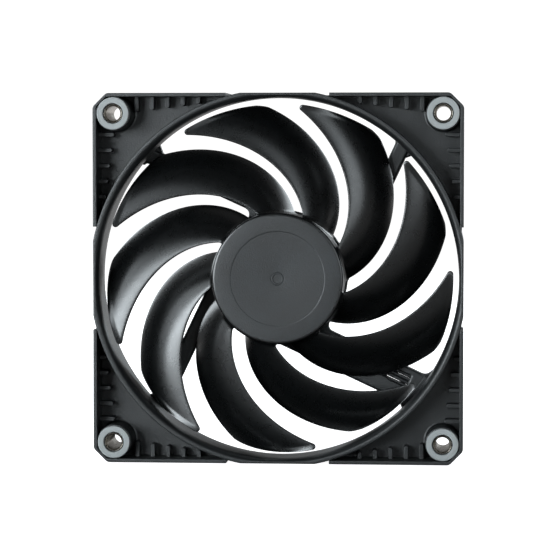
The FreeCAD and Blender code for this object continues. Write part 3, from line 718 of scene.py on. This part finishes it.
def build_base():
    """The round motor base with its label recess, boss and the small supports of the circuit board."""
    inner = BASE_R - STRUT_WALL
    profile = [(0.05, BASE_FLOOR), (inner, BASE_FLOOR, 0.4), (inner, BASE_FRONT, 0.2), (BASE_R, BASE_FRONT, 0.3)]
    recess = BACK - LABEL_RECESS
    profile += [(BASE_R, BACK, 0.6), (LABEL_R, BACK, 0.15), (LABEL_R, recess, 0.1), (0.05, recess)]
    shells = [lathe(rounded(profile, 4, False), count=256, closed=False)]
    deep = BASE_FLOOR + 0.2
    boss = [(BOSS_BORE, BOSS_FRONT, 0.1), (BOSS_R, BOSS_FRONT, 0.3), (BOSS_R, deep), (BOSS_BORE, deep)]
    shells.append(lathe(rounded(boss, 3), count=96))
    for turn in STANDOFF_TURNS:
        spot = beside(turn, np.array(STANDOFF_AT), np.array(0.0))
        shells.append(drawn(circle(STANDOFF_R, spot, 32), BOSS_FRONT, deep, 0.15))
    piece("frame_motor_base", shells, "housing", FRAME_COAT, ["frame"])


# ---------------------------------------------------------------- impeller

def hub():
    """The hub cup: a flat face, very slightly sunk inside a fine step, the gate mark and a rounded rim."""
    f = HUB_FRONT
    low = f + HUB_SUNK
    gate = low + GATE_DEPTH
    face = [(0.05, gate), (1.6, gate, 0.06), (1.8, low, 0.06), (2.2, low, 0.06), (2.4, gate, 0.08)]
    face += [(2.6, low, 0.08), (GROOVE_R - 0.3, low, 0.04), (GROOVE_R, f, 0.04)]
    side = HUB_R - 0.01
    profile = face + [(side, f, HUB_RIM + 0.1), (side, HUB_BACK, 0.25), (HUB_INSIDE_R, HUB_BACK, 0.2)]
    profile += [(HUB_INSIDE_R, f + HUB_WALL, 0.3), (0.05, f + HUB_WALL)]
    return lathe(rounded(profile, 5, False), count=360, closed=False)


def hub_rim():
    """The rounded front edge of the hub, which is smoother than its face."""
    f = HUB_FRONT
    section = [(HUB_R - HUB_RIM, f), (HUB_R, f, HUB_RIM), (HUB_R, f + 2.0, 0.01), (HUB_R - HUB_RIM, f + 2.0)]
    return lathe(rounded(section, 10), count=360)


def edge_turn(radius):
    """Angle in degrees of the first blade's leading edge before its tip is rounded: a straight sweep."""
    return EDGE_TURN + LEAD_SWEEP * (radius - MID_R) / HALF_SPAN


def leading_edge(radius):
    """Angle in degrees of the leading edge; beyond the start of the finger's rounding it follows a circle."""
    lean = math.atan(HALF_SPAN / (TIP_R * math.radians(LEAD_SWEEP)))
    start = TIP_R - FINGER_R * (1 + math.cos(lean))
    arc = start * math.radians(edge_turn(start))
    reach = np.sqrt(np.maximum(FINGER_R ** 2 - (radius - (TIP_R - FINGER_R)) ** 2, 0.0))
    round_end = arc - FINGER_R * math.sin(lean) + reach + (radius - start) * math.radians(edge_turn(start))
    return np.where(radius > start, np.degrees(round_end / radius), edge_turn(radius)), start, lean


def blade(index):
    """One blade as a closed surface: rows run from inside the hub to the tip, columns go round the section.
    The mid surface falls from leading to trailing edge as ac + bc^2 + dc^3, the half thickness follows
    sqrt(c(1-c)), both edges end in half circles, and near the hub the skin swells into a fillet."""
    lean_start, lean = leading_edge(np.array([MID_R]))[1:]
    turns = np.linspace(lean - math.pi / 2, math.pi / 2, 12)[1:]
    radii = np.concatenate([
        np.linspace(ROOT_R, HUB_R + ROOT_FILLET, 12), np.linspace(HUB_R + ROOT_FILLET, lean_start, 46)[1:],
        TIP_R - FINGER_R + FINGER_R * np.sin(turns),
    ])
    radius = radii[:, None]
    count = 52
    chord = 0.5 - 0.5 * np.cos(np.linspace(0, math.pi, count))
    nose = np.linspace(0, math.pi, 9)[1:-1]
    chords = np.concatenate([chord, np.ones(len(nose)), chord[::-1], np.zeros(len(nose))])[None]
    side = np.concatenate([-np.ones(count), -np.cos(nose), np.ones(count), np.cos(nose)])[None]
    push = np.concatenate([np.zeros(count), np.sin(nose), np.zeros(count), -np.sin(nose)])[None]
    part = (radius - MID_R) / HALF_SPAN
    lead = np.radians(leading_edge(radius)[0])
    cut = np.maximum(radius - TAIL_CUT_START, 0) / (TIP_R - TAIL_CUT_START)
    middle, sweep, bend = TAIL_TURN
    tail = np.radians(middle + sweep * part + bend * part ** 2) + TAIL_CUT * cut ** 2 / TIP_R
    lead_y = EDGE_Y[0] + EDGE_Y[1] * part ** 2
    depth = np.clip(1 - (radius - HUB_R) / ROOT_FILLET, 0, 1)
    swell = ROOT_FILLET * (1 - np.sqrt(1 - depth ** 2))
    half = THIN / 2 + CROWN * np.sqrt(chords * (1 - chords)) + swell
    inset = THIN / 2 / (radius * (lead - tail))
    along = inset + chords * (1 - 2 * inset)
    fall = TAIL_Y - lead_y
    first, second, third = BLADE_FALL
    steep = first + 2 * second * along + 3 * third * along ** 2
    slope = np.arctan(fall * steep / (radius * (lead - tail)))
    mid_y = lead_y + fall * (first * along + second * along ** 2 + third * along ** 3)
    turn = lead + (tail - lead) * along + (side * half * np.sin(slope) - push * half * np.cos(slope)) / radius
    y = mid_y + side * half * np.cos(slope) + push * half * np.sin(slope)
    grid = lifted(polar(radius, turn + math.radians(360 / BLADE_COUNT * index)), y)
    points, quads, rings = shell(grid, around=True)
    ends = []
    for row in (0, len(radii) - 1):
        front = np.arange(count) + row * grid.shape[1]
        back = (2 * count + len(nose) - 1 - np.arange(count)) + row * grid.shape[1]
        strip = np.stack([front[:-1], front[1:], back[1:], back[:-1]], axis=-1)
        ends.append(strip if row == 0 else strip[:, ::-1])
        tail_nose = np.arange(count - 1, count + len(nose) + 1) + row * grid.shape[1]
        lead_nose = np.arange(2 * count + len(nose) - 1, grid.shape[1] + 1) % grid.shape[1] + row * grid.shape[1]
        rings += [tail_nose, lead_nose] if row == 0 else [tail_nose[::-1], lead_nose[::-1]]
    quads = np.concatenate([quads] + ends)
    if swept_volume(points, quads, rings) < 0:
        quads = quads[:, ::-1]
        rings = [ring[::-1] for ring in rings]
    return points, quads, rings


def build_impeller():
    """Hub and blades."""
    piece("impeller_hub", [hub()], "rotor", HUB_COAT, ["impeller"], 50.0)
    piece("impeller_hub_rim", [hub_rim()], "rotor", BLADE_COAT, ["impeller"], 50.0)
    for index in range(BLADE_COUNT):
        name = "impeller_blade_%d" % (index + 1)
        piece(name, [blade(index)], "rotor", BLADE_COAT, ["impeller"], 50.0)


# ---------------------------------------------------------------- small pieces

def ring_box(node):
    """Outer radius, front, back and (x, z) centre of a packed ring."""
    low, high = box_mm(node)
    return (high[0] - low[0]) / 2, low[1], high[1], ((low[0] + high[0]) / 2, (low[2] + high[2]) / 2)


def pad(name, node):
    """A rubber ring with softened edges."""
    outer, front, back, centre = ring_box(node)
    e = PAD_EDGE
    section = [(PAD_BORE, front, e), (outer, front, e), (outer, back, e), (PAD_BORE, back, e)]
    piece(name, [lathe(rounded(section, 5), centre, 128)], "housing", PAD_COAT, [node])


def sleeve(name, node):
    """A steel tube whose bore is countersunk at both ends."""
    outer, front, back, centre = ring_box(node)
    rim = outer - 0.08
    section = [(outer, front, 0.05), (outer, back, 0.05), (rim, back, 0.04)]
    section += [(SLEEVE_BORE, back - SLEEVE_SINK, 0.2), (SLEEVE_BORE, front + SLEEVE_SINK, 0.2), (rim, front, 0.04)]
    piece(name, [lathe(rounded(section, 5), centre, 128)], "housing", SLEEVE_COAT, [node])


def lead(index):
    """One lead: a tube along the strut whose middle line wanders a little, less towards its ends."""
    along = np.linspace(*LEAD_ALONG, LEAD_POINTS)
    wave = 0.07 * np.sin(along / (4.6 + 0.7 * index) + rng.uniform(0, 6))
    lift = 0.06 * np.sin(along / (5.3 + 0.5 * index) + rng.uniform(0, 6))
    ease = np.sin(np.linspace(0, math.pi, LEAD_POINTS)) ** 0.5
    across = LEAD_FIRST + LEAD_PITCH * index + wave * ease
    middle = lifted(beside(LEAD_TURN, along, across), LEAD_Y + lift * ease)
    turn = np.linspace(0, 2 * math.pi, 24, endpoint=False)
    sideways = lifted(beside(LEAD_TURN, np.array(0.0), np.array(1.0)), 0.0)
    upright = np.array([0.0, 1.0, 0.0])
    ring = np.cos(turn)[:, None] * sideways + np.sin(turn)[:, None] * upright
    return shell(middle[:, None] + LEAD_R * ring[None], around=True, caps=True)


def build_fittings():
    """Pads, sleeves, label, leads and their clamp."""
    for index in range(1, 5):
        pad("pad_front_%d" % index, "front_pad_%d" % index)
        pad("pad_rear_%d" % index, "rear_pad_%d" % index)
        sleeve("sleeve_%d" % index, "mount_sleeve_%d" % index)
    low, high = box_mm("rear_label")
    disc = [(0.05, low[1]), (high[0], low[1], 0.05), (high[0], high[1], 0.05), (0.05, high[1])]
    film = lathe(rounded(disc, 3, False), count=192, closed=False)
    piece("label_rear", [film], "housing", LABEL_COAT, ["rear_label"])
    for index in range(4):
        name, node = "lead_%d" % (index + 1), "lead_wire_%d" % (index + 1)
        piece(name, [lead(index)], "housing", LEAD_COAT, [node])
    (start, end), (near, far) = CLAMP_ALONG, CLAMP_ACROSS
    spots = rounded([(start, near, 0.3), (end, near, 0.3), (end, far, 0.3), (start, far, 0.3)], 3)
    block = drawn(beside(LEAD_TURN, spots[:, 0], spots[:, 1]), NOTCH_BACK, BACK - 0.1, 0.15, 0.25)
    piece("clamp", [block], "housing", FRAME_COAT, ["lead_clamp"])


# ---------------------------------------------------------------- stage

# Stage settings in metres, watts and degrees. A lamp has its angle off the forward axis, the direction it is
# moved off it, counted from +X towards +Z, its width and its power.
# A glow is how bright the surroundings look to everything but the camera, which sees plain white: it runs
# from one strength to another while the Y of the direction, or of the place on the table, does.
WORLD_GLOWS = ((-0.45, 0.1, 0.015, 0.12), (0.8, 0.93, 0.0, 0.2))
TABLE_GLOWS = ((-0.04, -0.11, 0.0, 0.3), (0.15, 0.45, 0.0, 0.9))
TABLE_REACH = 6.0
TABLE_GAP = 0.0002
BACKDROP_STRENGTH = 1.1
LAMP_DISTANCE = 1.3
LAMP_TINT = "#f1faff"
LAMPS = (
    ("key_lamp", 33.0, 180.0, 0.8, 25.0),
    ("low_key_lamp", 43.0, 195.0, 0.8, 12.0),
    ("right_lamp", 32.0, 0.0, 0.7, 6.0),
    ("upper_left_lamp", 33.0, 135.0, 0.6, 1.5),
    ("upper_right_lamp", 32.0, 45.0, 0.5, 1.2),
    ("low_left_lamp", 42.0, 240.0, 0.8, 7.0),
    ("low_right_lamp", 42.0, 290.0, 0.8, 4.0),
    ("side_lamp", 58.0, 157.0, 0.6, 3.0),
    ("edge_lamp", 80.0, 180.0, 0.7, 2.0),
    ("back_lamp_left", 140.0, 150.0, 0.8, 7.0),
    ("back_lamp_right", 140.0, 30.0, 0.8, 7.0),
)
LENS = 157.5
CAMERA_AT = (0.07036, -0.92248, 0.04629)
CAMERA_TO = (0.00015, -0.0125, 0.00056)


def seen_or_glow(tree, ahead, glows, kind, shown):
    """A shader that the camera sees as `shown` and everything else as a white glow, the sum of its ramps."""
    total = None
    for start, end, weak, strong in glows:
        ramp = add(tree, "ShaderNodeMapRange", [("Value", ahead)], From_Min=start, From_Max=end,
                   To_Min=weak, To_Max=strong).outputs["Result"]
        if total is None:
            total = ramp
        else:
            total = add(tree, "ShaderNodeMath", [(0, total), (1, ramp)], operation="ADD").outputs[0]
    glow = add(tree, kind, [("Strength", total)], Color=linear("#ffffff"))
    seen = add(tree, "ShaderNodeLightPath").outputs["Is Camera Ray"]
    return add(tree, "ShaderNodeMixShader", [(0, seen), (1, glow.outputs[0]), (2, shown)]).outputs[0]


def build_stage():
    """White table, white surroundings that are dim in front of the fan, soft lamps and the camera."""
    table = bpy.data.meshes.new("table")
    reach = TABLE_REACH
    z = FRAME_LOW[2] * MM - TABLE_GAP
    corners = [(-reach, -reach, z), (reach, -reach, z), (reach, reach, z), (-reach, reach, z)]
    table.from_pydata(corners, [], [(0, 1, 2, 3)])
    floor = bpy.data.objects.new("table", table)
    bpy.context.scene.collection.objects.link(floor)
    white = bpy.data.materials.new("white_table")
    white.use_nodes = True
    tree = white.node_tree
    shader = tree.nodes["Principled BSDF"]
    shader.inputs["Base Color"].default_value = linear("#f4f4f4")
    shader.inputs["Roughness"].default_value = 0.9
    shader.inputs["Emission Color"].default_value = linear("#ffffff")
    shader.inputs["Emission Strength"].default_value = 1.0
    where = add(tree, "ShaderNodeTexCoord").outputs["Object"]
    ahead = add(tree, "ShaderNodeSeparateXYZ", [(0, where)]).outputs["Y"]
    mixed = seen_or_glow(tree, ahead, TABLE_GLOWS, "ShaderNodeEmission", shader.outputs[0])
    tree.links.new(mixed, tree.nodes["Material Output"].inputs["Surface"])
    table.materials.append(white)

    world = bpy.data.worlds.new("studio")
    bpy.context.scene.world = world
    world.use_nodes = True
    tree = world.node_tree
    tree.nodes.clear()
    where = add(tree, "ShaderNodeTexCoord").outputs["Generated"]
    ahead = add(tree, "ShaderNodeSeparateXYZ", [(0, where)]).outputs["Y"]
    plain = add(tree, "ShaderNodeBackground", Color=linear("#ffffff"), Strength=BACKDROP_STRENGTH)
    mixed = seen_or_glow(tree, ahead, WORLD_GLOWS, "ShaderNodeBackground", plain.outputs[0])
    add(tree, "ShaderNodeOutputWorld", [("Surface", mixed)])

    for name, off, round_turn, size, power in LAMPS:
        lamp = bpy.data.lights.new(name, "AREA")
        lamp.shape = "DISK"
        lamp.size = size
        lamp.energy = power
        lamp.color = linear(LAMP_TINT)[:3]
        holder = bpy.data.objects.new(name, lamp)
        bpy.context.scene.collection.objects.link(holder)
        tilt, turn = math.radians(off), math.radians(round_turn)
        aim = Vector((math.sin(tilt) * math.cos(turn), -math.cos(tilt), math.sin(tilt) * math.sin(turn)))
        holder.location = aim * LAMP_DISTANCE
        holder.rotation_euler = aim.to_track_quat("Z", "Y").to_euler()

    camera = bpy.data.cameras.new("camera")
    camera.sensor_width = 36.0
    camera.lens = LENS
    camera.clip_start, camera.clip_end = 0.01, 50.0
    eye = bpy.data.objects.new("camera", camera)
    bpy.context.scene.collection.objects.link(eye)
    eye.location = CAMERA_AT
    eye.rotation_euler = (Vector(CAMERA_TO) - Vector(CAMERA_AT)).to_track_quat("-Z", "Y").to_euler()
    bpy.context.scene.camera = eye
    bpy.context.scene.view_settings.view_transform = "Standard"


coat_carried()
piece("frame_duct", [duct()], "housing", FRAME_COAT, ["frame"])
build_corners()
build_struts()
build_base()
build_impeller()
build_fittings()
build_stage()
